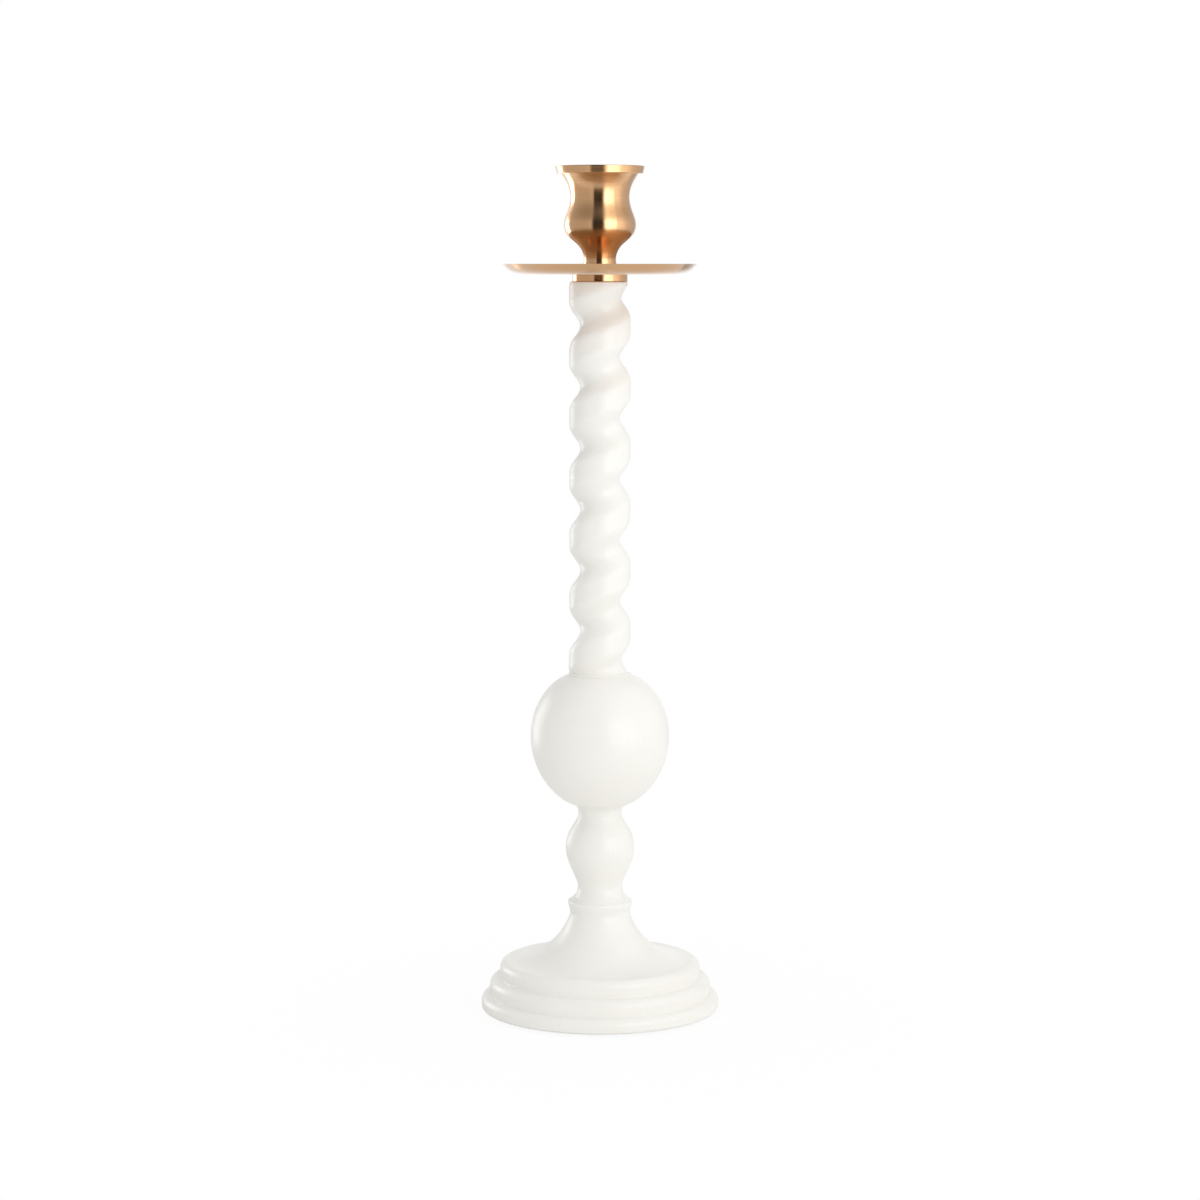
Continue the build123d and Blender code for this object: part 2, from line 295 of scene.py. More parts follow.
def outline(*parts, spacing=1.2, margin=0.12):
    """Parts end to end as one outline, without doubled points.

    Long runs get points at the spacing, and one close to each end, so that the smooth shading
    of a round doesn't run out over the flat beside it.
    """
    path = np.vstack([np.asarray(part, float) for part in parts])
    path = path[np.r_[True, np.hypot(*np.diff(path, axis=0).T) > 1e-5]]
    way = travelled(path)
    stops = []
    for here, there in zip(way, way[1:]):
        if there - here < 4 * margin:
            stops.append([here])
            continue
        count = max(1, ceil((there - here) / spacing))
        stops.append(np.linspace(here + margin, there - margin, count + 1))
        stops.append([here])
    stops = np.sort(np.r_[np.concatenate(stops), way[-1]])
    return np.c_[np.interp(stops, way, path[:, 0]), np.interp(stops, way, path[:, 1])]


def ring(inner, outer, bottom, top, rounds, spacing):
    """Closed outline of a plain ring, its last point left out because it is the first."""
    corners = stairs((inner, bottom), outer, top, inner, bottom, level=True)
    return outline(rounded(corners, rounds), spacing=spacing)[:-1]


def circle(columns):
    """Evenly spaced angles once round the axis."""
    return np.arange(columns) * 2 * pi / columns


def travelled(path):
    """Length along an outline at each of its points."""
    return np.r_[0, np.cumsum(np.hypot(*np.diff(path, axis=0).T))]


# ---- surfaces ----


def stand(name, data):
    """A new object in the scene, at the origin."""
    thing = bpy.data.objects.new(name, data)
    bpy.context.scene.collection.objects.link(thing)
    return thing


def skin(name, radius, height, node, slot, finish, loop=False):
    """Closed surface round the upright axis.

    Rows run along the outline and columns round the axis: x is radius times cos a, y is radius
    times sin a, z is height. A loop joins its last row to its first. Any other surface starts
    and ends on the axis, where a row is a single point. The length along the outline is kept
    as the attribute "turning", for the lines of the turning tool. The finish is asked for by
    its slot.
    """
    radius, height = np.broadcast_arrays(radius, height)
    rows, columns = radius.shape
    angle = circle(columns)
    points = np.stack([radius * np.cos(angle), radius * np.sin(angle), height], -1) * MM
    index = np.arange(rows * columns).reshape(rows, columns)
    keep = np.ones(rows * columns, bool)
    if not loop:
        keep[1:columns] = keep[-columns + 1:] = False
        index[0], index[-1] = 0, rows * columns - columns
    index = (np.cumsum(keep) - 1)[index]
    if loop:
        index = np.vstack([index, index[:1]])
    side = np.roll(index, -1, axis=1)
    faces = np.stack([index[:-1], side[:-1], side[1:], index[1:]], -1)
    if loop:
        polygons = faces.reshape(-1, 4).tolist()
    else:
        polygons = faces[1:-1].reshape(-1, 4).tolist()
        polygons += faces[0][:, [0, 2, 3]].tolist() + faces[-1][:, :3].tolist()
    middle = points.mean(1)
    run = np.r_[0, np.cumsum(np.linalg.norm(np.diff(points[:, 0], axis=0), axis=1))]
    if not loop:
        points[0], points[-1] = middle[0], middle[-1]
    mesh = bpy.data.meshes.new(name)
    mesh.from_pydata(points.reshape(-1, 3)[keep], [], polygons)
    turning = mesh.attributes.new("turning", "FLOAT", "POINT")
    turning.data.foreach_set("value", np.repeat(run, columns)[keep].astype(np.float32))
    mesh.shade_smooth()
    mesh.set_sharp_from_angle(angle=radians(35))
    piece = stand(name, mesh)
    mesh.materials.append(finish(slot))
    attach(piece, BODIES[node])
    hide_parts(node)
    return piece


def turned(name, path, node, slot, finish, columns, loop=False):
    """Surface of revolution: the outline carried once round the axis."""
    radius = np.repeat(path[:, :1], columns, axis=1)
    return skin(name, radius, path[:, 1:], node, slot, finish, loop)


def thread(height, columns, pitch):
    """Depth share of a right-handed thread, 0 on the crest and 1 in the root.

    The phase is height over pitch less the turn round the axis. Its distance from the middle
    of the crest is cut off flat over an eighth of the pitch at the crest and a quarter at the
    root.
    """
    turn = np.arange(columns) / columns
    phase = (height[:, None] / pitch - turn) % 1
    return np.clip((np.abs(2 * phase - 1) - 0.125) / 0.625, 0, 1)


def thread_levels(bottom, top, pitch):
    """Heights of a thread's rows, and each row's distance from the nearer end."""
    levels = np.linspace(bottom, top, int((top - bottom) / pitch * THREAD_ROWS) + 1)
    return levels, np.minimum(levels - bottom, top - levels)[:, None]


def stacked(*parts):
    """Radii and heights of all rows, from parts one after the other.

    Each part is its rows of radii, and one height for all of them or a height for each.
    """
    radius = np.vstack([rows for rows, _ in parts])
    height = np.concatenate([np.broadcast_to(level, len(rows)) for rows, level in parts])
    return radius, height[:, None]


# ---- finishes ----


def put(tree, kind, values=None, **settings):
    """Adds a node, gives it its settings, and sets or plugs in each named socket."""
    node = tree.nodes.new(kind)
    for key, value in settings.items():
        setattr(node, key, value)
    for socket, value in (values or {}).items():
        if isinstance(value, bpy.types.NodeSocket):
            tree.links.new(value, node.inputs[socket])
        else:
            node.inputs[socket].default_value = value
    return node


def cleared(owner):
    """The emptied node tree of a material or a world."""
    owner.use_nodes = True
    owner.node_tree.nodes.clear()
    return owner.node_tree


def maths(tree, operation, *values):
    """Arithmetic on single values."""
    return put(tree, "ShaderNodeMath", dict(enumerate(values)), operation=operation).outputs[0]


def vectors(tree, operation, *values):
    """Arithmetic on vectors: its outputs are a vector and a value."""
    return put(tree, "ShaderNodeVectorMath", dict(enumerate(values)), operation=operation).outputs


def place(tree):
    """Object coordinates, in metres."""
    return put(tree, "ShaderNodeTexCoord").outputs["Object"]


def from_axis(tree):
    """Distance from the upright axis, in metres."""
    level = vectors(tree, "MULTIPLY", place(tree), (1.0, 1.0, 0.0))[0]
    return vectors(tree, "LENGTH", level)["Value"]


def noise(tree, vector, detail, roughness):
    """Noise of one wave for each unit of its vector."""
    values = {"Vector": vector, "Scale": 1.0, "Detail": detail, "Roughness": roughness}
    return put(tree, "ShaderNodeTexNoise", values).outputs[0]


def stretched(tree, scale):
    """Object coordinates times a scale of its own along x, y and z."""
    return put(tree, "ShaderNodeMapping", {"Vector": place(tree), "Scale": scale}).outputs[0]


def grain(tree, waves, detail, roughness=0.5):
    """Noise with its own number of waves in a metre along x, y and z."""
    return noise(tree, stretched(tree, waves), detail, roughness)


def circling(tree, fine, coarse=25.0):
    """Lines left by a turning tool: noise drawn out round the axis.

    It changes quickly along the outline, by the attribute "turning", and slowly across it.
    """
    along = put(tree, "ShaderNodeAttribute", attribute_name="turning").outputs["Fac"]
    raised = put(tree, "ShaderNodeCombineXYZ", {"Z": maths(tree, "MULTIPLY", along, fine)})
    across = stretched(tree, (coarse, coarse, 0.0))
    return noise(tree, vectors(tree, "ADD", across, raised.outputs[0])[0], 2.0, 0.55)


def remap(tree, value, low_in, high_in, low_out=0.0, high_out=1.0):
    """Stretches a range of values onto another and stops at its ends."""
    values = {0: value, 1: low_in, 2: high_in, 3: low_out, 4: high_out}
    return put(tree, "ShaderNodeMapRange", values).outputs[0]


def blend(tree, share, first, second):
    """Blends two colours by a share."""
    values = {0: share, 6: first, 7: second}
    return put(tree, "ShaderNodeMix", values, data_type="RGBA").outputs[2]


def shade(colour, factor, warmth=0.0):
    """A colour made darker or lighter, and warmer by a share taken from its blue."""
    red, green, blue = colour
    return (red * factor, green * factor * (1 - warmth / 3), blue * factor * (1 - warmth), 1.0)


def bump(tree, height, strength, distance, normal=None):
    """Bump from a height of 0 to 1 over a distance in metres."""
    values = {"Height": height, "Strength": strength, "Distance": distance}
    if normal:
        values["Normal"] = normal
    return put(tree, "ShaderNodeBump", values).outputs[0]


def lacquered_wood(tree, finishes):
    """Warm white satin lacquer: faint mottling, grain that telegraphs through, orange peel."""
    clouds = remap(tree, grain(tree, (38, 38, 30), 4), 0.35, 0.68)
    fibres = remap(tree, grain(tree, (1500, 1500, 26), 4, 0.62), 0.42, 0.72)
    pores = remap(tree, grain(tree, (2600, 2600, 150), 2), 0.66, 0.78)
    peel = grain(tree, (420, 420, 420), 2)
    colour, satin = finishes.lacquer_colour, finishes.lacquer_roughness
    white = blend(tree, clouds, shade(colour, 1.0), shade(colour, 0.985, 0.018))
    white = blend(tree, fibres, white, shade(colour, 0.978, 0.012))
    surface = bump(tree, peel, 0.10, 0.0004)
    return {
        "Base Color": blend(tree, pores, white, shade(colour, 0.955, 0.02)),
        "Roughness": remap(tree, clouds, 0, 1, satin - 0.04, satin + 0.05),
        "Normal": bump(tree, fibres, 0.06, 0.0003, surface),
        "Coat Weight": 0.28,
        "Coat Roughness": 0.22,
        "Specular IOR Level": 0.2,
    }


def satin_brass(tree, finishes):
    """Brass left with fine turning lines, which stretch its highlights across them.

    A clear lacquer lies over it and adds its own white shine. Far from the axis, the plate's wide
    rim has its colour painted darker: painted shade, standing in for its dimmer reflections.
    the axis, is handled the most and has dulled.
    """
    lines = circling(tree, 5200.0)
    broad = circling(tree, 900.0, 12.0)
    stains = remap(tree, grain(tree, (60, 60, 60), 3), 0.45, 0.75, 0, 0.35)
    # Painted shade: a mask that darkens the brass colour on the plate's rim, far from the axis.
    rim_painted_shade = remap(tree, from_axis(tree), 0.028, 0.040)
    colour, satin = finishes.brass_colour, finishes.brass_roughness
    tone = blend(tree, remap(tree, lines, 0.3, 0.7), shade(colour, 0.94, 0.05), shade(colour, 1.05))
    tone = blend(tree, stains, tone, shade(colour, 0.93, 0.08))
    round_axis = put(tree, "ShaderNodeTangent", direction_type="RADIAL", axis="Z")
    surface = bump(tree, lines, 0.10, 0.00006)
    return {
        # The base colour takes the painted shade on the rim.
        "Base Color": blend(tree, rim_painted_shade, tone, shade(colour, 0.74)),
        "Roughness": remap(tree, broad, 0.3, 0.7, satin - 0.025, satin + 0.035),
        "Normal": bump(tree, broad, 0.05, 0.0002, surface),
        "Tangent": round_axis.outputs[0],
        "Metallic": 1.0,
        "Anisotropic": 1.0,
        "Anisotropic Rotation": 0.25,
        "Coat Weight": 1.0,
        "Coat Roughness": 0.13,
        "Coat IOR": 1.7,
    }


def machined_metal(tree, colour, roughness, mottle):
    """Plain machined metal: tool lines, a little dullness in patches and dark specks."""
    lines = circling(tree, 3800.0)
    patches = grain(tree, (240, 240, 240), 4)
    specks = remap(tree, grain(tree, (1600, 1600, 1600), 2), 0.66, 0.78, 0, 0.6)
    dull = shade(colour, 1 - mottle, 0.06)
    tone = blend(tree, remap(tree, patches, 0.35, 0.7), shade(colour, 1.04), dull)
    return {
        "Base Color": blend(tree, specks, tone, shade(colour, 0.7, 0.1)),
        "Roughness": remap(tree, patches, 0.3, 0.7, roughness - 0.05, roughness + 0.1),
        "Normal": bump(tree, lines, 0.15, 0.00008),
        "Metallic": 1.0,
    }


def machined_brass(tree, finishes):
    """Plain brass of the inserts."""
    return machined_metal(tree, finishes.insert_colour, 0.3, 0.12)


def zinc_steel(tree, finishes):
    """Zinc-plated steel of the bolt, the washer and the stud."""
    return machined_metal(tree, finishes.steel_colour, 0.34, 0.2)


def bare_beech(tree, finishes):
    """Unfinished beech: growth bands, upright fibres and short dark flecks."""
    bands = remap(tree, grain(tree, (190, 900, 9), 3), 0.35, 0.68)
    fibres = remap(tree, grain(tree, (3600, 3600, 90), 3), 0.35, 0.7)
    flecks = remap(tree, grain(tree, (2600, 2600, 420), 2), 0.62, 0.7)
    colour = finishes.wood_colour
    tone = blend(tree, bands, shade(colour, 1.12), shade(colour, 0.86, 0.12))
    tone = blend(tree, fibres, tone, shade(colour, 0.95, 0.08))
    return {
        "Base Color": blend(tree, flecks, tone, shade(colour, 0.6, 0.15)),
        "Roughness": remap(tree, fibres, 0, 1, 0.62, 0.8),
        "Normal": bump(tree, fibres, 0.3, 0.00015),
        "Specular IOR Level": 0.25,
    }


def wool_felt(tree, finishes):
    """Pressed wool felt: tangled fibres in uneven greys, with a soft sheen."""
    tangle = grain(tree, (1300, 1300, 1300), 6, 0.7)
    hairs = remap(tree, grain(tree, (5200, 900, 2600), 3), 0.56, 0.66)
    colour = finishes.felt_colour
    tone = blend(tree, remap(tree, tangle, 0.35, 0.65), shade(colour, 0.6), shade(colour, 1.7))
    return {
        "Base Color": blend(tree, hairs, tone, shade(colour, 2.6)),
        "Roughness": remap(tree, tangle, 0.3, 0.7, 0.85, 1.0),
        "Normal": bump(tree, tangle, 0.6, 0.0006),
        "Sheen Weight": 0.12,
        "Sheen Roughness": 0.6,
        "Specular IOR Level": 0.15,
    }


# What each slot's finish sets and plugs in on its shader.
FINISHES = {
    "white_lacquered_wood": lacquered_wood,
    "satin_brass": satin_brass,
    "insert_brass": machined_brass,
    "zinc_steel": zinc_steel,
    "bare_wood": bare_beech,
    "felt": wool_felt,
}


def finish_for(slot, finishes):
    """The finish of a material slot, made the first time that a piece asks for it."""
    name = slot + "_finish"
    if name not in bpy.data.materials:
        tree = cleared(bpy.data.materials.new(name))
        shader = put(tree, "ShaderNodeBsdfPrincipled", FINISHES[slot](tree, finishes))
        put(tree, "ShaderNodeOutputMaterial", {"Surface": shader.outputs[0]})
    return bpy.data.materials[name]


# ---- pieces ----


class PieceOperator:
    """What every piece's operator shares: it reads the settings and calls build."""

    bl_options = {"REGISTER", "UNDO"}

    def execute(self, context):
        sizes = context.scene.candle_holder_sizes
        self.build(sizes, lambda slot: finish_for(slot, context.scene.candle_holder_finishes))
        return {"FINISHED"}


class CANDLEHOLDER_OT_felt_pad(PieceOperator, bpy.types.Operator):
    """Felt disc under the base, with a soft uneven edge"""

    bl_idname = "candle_holder.felt_pad"
    bl_label = "Felt pad"

    def build(self, sizes, finish):
        """Disc whose edge and faces swell and sink by sums of sines round the axis."""
        bottom, top, edge = extent("felt_pad")
        corners = stairs((0, bottom), edge, top, 0, level=True)
        path = outline(rounded(corners, (0.5, 0.3)), spacing=1.6)
        turn, frayed = circle(240), 1.5
        ragged = np.sin(37 * turn) + 0.7 * np.sin(61 * turn + 1.0) + 0.5 * np.sin(97 * turn + 2.0)
        near_edge = np.clip((path[:, :1] - edge + frayed) / frayed, 0, 1)
        radius = path[:, :1] - near_edge * (0.06 + 0.027 * ragged)
        skin("felt_disc", radius, path[:, 1:], "felt_pad", "felt", finish)


class CANDLEHOLDER_OT_stepped_base(PieceOperator, bpy.types.Operator):
    """Turned base: three round-edged steps, a trumpet foot and a ring with a rolled lip"""

    bl_idname = "candle_holder.stepped_base"
    bl_label = "Stepped base"

    def build(self, sizes, finish):
        """Outline of rounded steps, a hollow arc and the ring, closed through the bores.

        The lacquer fills the grooves over the steps to soft hollows.
        """
        bottom, top = low("stepped_base"), high("stepped_base")
        base, middle = sizes.base_radius / MM, sizes.middle_step_radius / MM
        upper = sizes.top_step_radius / MM
        trumpet_edge = upper - 5.4
        first, second, third = bottom + 6.4, bottom + 13.9, bottom + 21.7
        felt_edge, felt_top = base - 5.0, high("felt_pad")
        steps = rounded(
            [
                (felt_edge, bottom),
                (base, bottom),
                (base, first),
                (middle, first + 0.1),
                (middle, second),
                (upper, second + 0.1),
                (upper, third),
                (trumpet_edge, third),
            ],
            (1.2, 3.3, 0.45, 3.5, 0.8, 3.5),
            10,
        )
        waist, waist_foot, lip, roll = 13.6, top - 6.4, 14.5, top - 0.9
        trumpet = bowed((trumpet_edge, third), (waist, waist_foot), -5.0, 40)[:-3]
        band = flowing(
            [trumpet[-1], (waist, waist_foot + 0.9), (waist + 0.45, waist_foot + 3.4), (lip, roll)],
            tuple(trumpet[-1] - trumpet[-2]),
            (0, 1),
        )
        rolled = rounded([(lip, roll), (lip, top), (lip - 1.5, top)], (0.7,))
        socket, socket_floor = 8.1, top - 8.5
        pocket, pocket_roof = 11.0, high("base_washer")
        bores = stairs(
            (socket, top), socket_floor, SCREW_HOLE, pocket_roof, pocket, felt_top, felt_edge
        )
        path = outline(steps, trumpet, band, rolled, bores)
        wood = "white_lacquered_wood"
        turned("base_turned", path, "stepped_base", wood, finish, 224, loop=True)


class CANDLEHOLDER_OT_base_fixings(PieceOperator, bpy.types.Operator):
    """Washer and hexagon bolt that pull the base against the spindle"""

    bl_idname = "candle_holder.base_fixings"
    bl_label = "Bolt and washer"

    def build(self, sizes, finish):
        """Washer outline carried round, and a bolt from a hexagon, a plain shank and a thread."""
        bottom, top, hole, edge = low("base_washer"), high("base_washer"), 3.2, 9.0
        path = ring(hole, edge, bottom, top, (0.3, 0.2, 0.2), 0.8)
        turned("washer_pressed", path, "base_washer", "zinc_steel", finish, 96, loop=True)
        self.build_bolt(sizes.thread_pitch / MM, finish)

    def build_bolt(self, pitch, finish):
        """Bolt with its head down.

        The head's radius is the hexagon's flat over the cosine of the angle from the middle of
        that flat, never more than a 30 degree cone off its lower edge. The thread is the crest
        radius less its depth, never more than a 45 degree cone at the tip.
        """
        columns = 96
        bottom, seat, tip = low("base_bolt"), low("base_washer"), high("base_bolt")
        corner, cone_foot, shank, tip_radius, thread_length = 5.5, 4.6, 2.95, 2.4, 24.0
        hexagon = corner * cos(pi / 6) / np.cos(circle(columns) % (pi / 3) - pi / 6)
        head_levels = np.r_[
            np.linspace(bottom, bottom + 0.7, 8), np.linspace(bottom + 0.9, seat, 8)
        ]
        cone = cone_foot + (head_levels[:, None] - bottom) / tan(pi / 6)
        head = np.minimum(hexagon, cone)
        face = np.linspace(0, 1, 7)[:-1, None] * head[0]
        under = np.linspace(head[-1], np.full(columns, THREAD_CREST), 6)[1:]
        plain_end = tip - thread_length
        plain = np.full((14, columns), shank)
        levels = np.linspace(plain_end, tip, int(thread_length / pitch * THREAD_ROWS))
        cut = THREAD_CREST - THREAD_DEPTH * thread(levels, columns, pitch)
        cut = np.minimum(cut, tip_radius + (tip - levels)[:, None])
        tip_face = np.linspace(1, 0, 6)[1:, None] * cut[-1]
        radius, height = stacked(
            (face, bottom),
            (head, head_levels),
            (under, seat),
            (plain, np.linspace(seat + 0.1, plain_end - 0.1, len(plain))),
            (cut, levels),
            (tip_face, tip),
        )
        skin("bolt_threaded", radius, height, "base_bolt", "zinc_steel", finish)


class CANDLEHOLDER_OT_threaded_inserts(PieceOperator, bpy.types.Operator):
    """Brass inserts in the spindle and in the top of the column"""

    bl_idname = "candle_holder.threaded_inserts"
    bl_label = "Threaded inserts"

    def build(self, sizes, finish):
        """Sleeve with a coarse thread outside and the stud's thread, a little wider, inside."""
        pitch, columns = sizes.thread_pitch / MM, 72
        coarse_pitch, bore_crest, bore_mouth, outer_cut = 2.5, 3.05, 3.35, 0.6
        for name, node in (("insert_lower", "spindle_insert"), ("insert_upper", "column_insert")):
            bottom, top, outer = extent(node)
            levels, to_end = thread_levels(bottom, top, pitch)
            bite = outer - THREAD_DEPTH * thread(levels, columns, coarse_pitch)
            bite = np.minimum(bite, outer - outer_cut + to_end)
            bore = bore_crest - THREAD_DEPTH * thread(levels, columns, pitch)
            bore = np.maximum(bore, bore_mouth - to_end)
            rim = np.linspace(bite[-1], bore[-1], 6)[1:-1]
            foot = np.linspace(bore[0], bite[0], 6)[1:-1]
            radius, height = stacked(
                (bite, levels), (rim, top), (bore[::-1], levels[::-1]), (foot, bottom)
            )
            skin(name, radius, height, node, "insert_brass", finish, loop=True)


class CANDLEHOLDER_OT_ball_spindle(PieceOperator, bpy.types.Operator):
    """Turned spindle: foot cove, baluster, neck and ball in one piece"""

    bl_idname = "candle_holder.ball_spindle"
    bl_label = "Ball spindle"

    def build(self, sizes, finish):
        """Outline of arcs, curves through a few points, and two half ellipses for the ball."""
        tenon, top, tenon_radius = low("ball_spindle"), high("ball_spindle"), 8.0
        seat = tenon + 8.0
        foot = (13.8, seat + 0.25)
        lower_neck = (10.0, seat + 6.2)
        cove = leaving(lower_neck, foot, (0, -1), 14)[::-1]
        neck_gap = 33.4
        upper_neck = (9.8, lower_neck[1] + neck_gap)
        belly = (sizes.baluster_radius / MM, lower_neck[1] + neck_gap * 0.54)
        baluster = flowing(
            passing(
                lower_neck,
                ((0.31, 0.30), (0.67, 0.55), (0.87, 0.72)),
                belly,
                ((0.15, 0.35), (0.39, 0.545), (0.74, 0.75)),
                upper_neck,
            ),
            (0, 1),
            (0, 1),
        )
        neck_top = (upper_neck[0], upper_neck[1] + 1.4)
        widest = sizes.ball_radius / MM
        foot_share, shoulder_share, lower, upper = 0.53, 0.7, 34.5, 31.8
        middle = neck_top[1] + 5.2 + lower * (1 - foot_share**2) ** 0.5
        below = np.linspace(-np.arccos(foot_share), 0, 40)[:-1]
        above = np.linspace(0, np.arccos(shoulder_share), 36)
        ball = np.vstack(
            [
                np.c_[widest * np.cos(below), middle + lower * np.sin(below)],
                np.c_[widest * np.cos(above), middle + upper * np.sin(above)],
            ]
        )
        foot_way = (widest * (1 - foot_share**2) ** 0.5, lower * foot_share)
        hollow = flowing([neck_top, ball[0]], (0, 1), foot_way, 16)
        shoulder_way = (-widest * (1 - shoulder_share**2) ** 0.5, upper * shoulder_share)
        shoulder = flowing([ball[-1], (COLUMN_SEAT, top)], shoulder_way, (-1, 0.4), 14)
        insert_top, dowel_floor = high("spindle_insert"), low("column_dowel") - DOWEL_GAP
        tenon_steps = (INSERT_BORE, tenon, tenon_radius, seat, *foot)
        start = stairs((0, insert_top), *tenon_steps, level=True)
        start = rounded(start, (0, 0.3, 0.3, 0.0, 0.05))
        end = stairs((COLUMN_SEAT, top), DOWEL_BORE, dowel_floor, 0, level=True)
        path = outline(start, cove, baluster, [neck_top], hollow, ball, shoulder, end)
        turned("spindle_turned", path, "ball_spindle", "white_lacquered_wood", finish, 208)


class CANDLEHOLDER_OT_column_dowel(PieceOperator, bpy.types.Operator):
    """Fluted dowel glued into the ball and the column"""

    bl_idname = "candle_holder.column_dowel"
    bl_label = "Column dowel"

    def build(self, sizes, finish):
        """Rod whose radius dips by a raised cosine of the flute count times the angle.

        Eight columns of points make one flute.
        """
        bottom, top, outer = extent("column_dowel")
        cut, depth, flutes = 0.8, 0.22, sizes.dowel_flutes
        path = outline(
            rounded([(0, bottom), (outer - cut, bottom), (outer, bottom + cut)], (0.15,)),
            rounded([(outer, top - cut), (outer - cut, top), (0, top)], (0.15,)),
            spacing=1.0,
        )
        dip = depth * ((1 + np.cos(flutes * circle(flutes * 8))) / 2) ** 2
        radius = path[:, :1] - dip * np.clip(path[:, :1] / outer, 0, 1) ** 8
        skin("dowel_fluted", radius, path[:, 1:], "column_dowel", "bare_wood", finish)


class CANDLEHOLDER_OT_spiral_column(PieceOperator, bpy.types.Operator):
    """Column carved as one right-handed spiral, faded out into a round top and foot"""

    bl_idname = "candle_holder.spiral_column"
    bl_label = "Spiral column"

    def build(self, sizes, finish):
        """Twisted ellipse set off the axis, blended into a round end at the top and the foot.

        At each height the distance to the ellipse solves its equation along the ray from the
        axis, in the ellipse's own turned frame. The larger of that and the end's radius is
        taken by the soft maximum: half of sum plus root of squared difference plus k squared,
        where k runs out to nothing over the last 2 mm.
        """
        bottom, top = low("spiral_column"), high("spiral_column")
        columns, round_top, round_foot = 176, 0.5, 0.12
        first, last = bottom + round_foot, top - round_top
        sparse = first + 4
        levels = np.r_[np.linspace(first, sparse, 21)[:-1], np.linspace(sparse, last, 262)]
        outer = self.carved(levels, columns, bottom, top, sizes)
        share = np.linspace(0, pi / 2, 6)[1:, None]
        top_edge = outer[-1] - round_top * (1 - np.cos(share))
        top_levels = top - round_top * (1 - np.sin(share[:, 0]))
        foot_edge = outer[0] - round_foot * (1 - np.cos(share[::-1]))
        foot_levels = bottom + round_foot * (1 - np.sin(share[::-1, 0]))
        inward = np.r_[0.02, np.linspace(0.12, 0.98, 6), 1.0][:, None]
        top_face = top_edge[-1] * (1 - inward) + INSERT_BORE * inward
        foot_face = (foot_edge[0] * (1 - inward) + DOWEL_BORE * inward)[::-1]
        dowel_roof, insert_foot = high("column_dowel") + DOWEL_GAP, low("column_insert")
        stud_floor = low("cup_stud") - 3.0
        dowel_hole = stairs((0, dowel_roof), DOWEL_BORE, bottom, level=True)
        screw_hole = stairs((INSERT_BORE, top), insert_foot, SCREW_HOLE, stud_floor, 0)
        into = outline(dowel_hole, spacing=2.0)[:-1]
        out = outline(screw_hole, spacing=2.0)[1:]
        ones = np.ones((1, columns))
        radius, height = stacked(
            (into[:, :1] * ones, into[:, 1]),
            (foot_face, bottom),
            (foot_edge, foot_levels),
            (outer, levels),
            (top_edge, top_levels),
            (top_face, top),
            (out[:, :1] * ones, out[:, 1]),
        )
        skin("spiral_carved", radius, height, "spiral_column", "white_lacquered_wood", finish)

    def carved(self, levels, columns, bottom, top, sizes):
        """Radius of the spiral and its two ends, a row for each level."""
        depth, width, offset = 11.15, 12.5, sizes.spiral_offset / MM
        lead = sizes.spiral_start + 2 * pi * (levels[:, None] - bottom) / (sizes.spiral_pitch / MM)
        own = circle(columns) - lead
        square = np.cos(own) ** 2 / depth**2 + np.sin(own) ** 2 / width**2
        linear = offset * np.cos(own) / depth**2
        spiral = (linear + np.sqrt(linear**2 - square * (offset**2 / depth**2 - 1))) / square
        root = (depth - offset) * 0.97
        # Each end: its height, which way is out, its radius, how far its straight edge and
        # its arc reach into the column, and how softly it joins the spiral.
        ends = ((top, 1, 12.2, 1.7, 12.0, 0.6), (bottom, -1, COLUMN_SEAT, 0.6, 7.0, 2.6))
        for end, way, outer, edge, fade, soft in ends:
            run = leaving((root, -fade), (outer, -edge), (0, 1))
            to_end = way * (levels - end)
            heights = np.r_[-fade - 8, run[:, 1], 0]
            round_end = np.interp(to_end, heights, np.r_[root - 12, run[:, 0], outer])[:, None]
            k = soft * np.clip(-to_end / 2, 0, 1)[:, None]
            spiral = (spiral + round_end + np.sqrt((spiral - round_end) ** 2 + k**2)) / 2
        return spiral


class CANDLEHOLDER_OT_collar(PieceOperator, bpy.types.Operator):
    """Brass collar between the column and the drip plate"""

    bl_idname = "candle_holder.collar"
    bl_label = "Collar"

    def build(self, sizes, finish):
        """Ring with small rounds on its edges, carried round the axis."""
        bottom, top, outer = extent("collar")
        path = ring(SPIGOT, outer, bottom, top, (0.3, 0.3, 0.1), 0.6)
        turned("collar_turned", path, "collar", "satin_brass", finish, 160, loop=True)


class CANDLEHOLDER_OT_drip_plate(PieceOperator, bpy.types.Operator):
    """Spun brass dish that catches the wax"""

    bl_idname = "candle_holder.drip_plate"
    bl_label = "Drip plate"

    def build(self, sizes, finish):
        """Flat floor that sweeps up to a thin rim: two curves with a wall between them."""
        bottom, top = low("drip_plate"), low("drip_plate") + 4.6
        outer, wall, slope = sizes.plate_radius / MM, 1.2, radians(30)
        flat, bend, bend_height = outer - 14.5, outer - 2.6, bottom + 1.9
        rim, hole = 0.5, 6.08
        under = flowing([(flat, bottom), (bend, bend_height), (outer, top)], (1, 0), (1, 1), 24)
        over = flowing(
            [
                (outer - rim, top),
                (bend - wall * sin(slope), bend_height + wall * cos(slope)),
                (flat, bottom + wall),
            ],
            (-1, -1),
            (-1, 0),
            24,
        )
        inside = stairs((hole, bottom + wall), bottom, flat)
        path = outline(under, over, inside)[:-1]
        turned("plate_spun", path, "drip_plate", "satin_brass", finish, 224, loop=True)


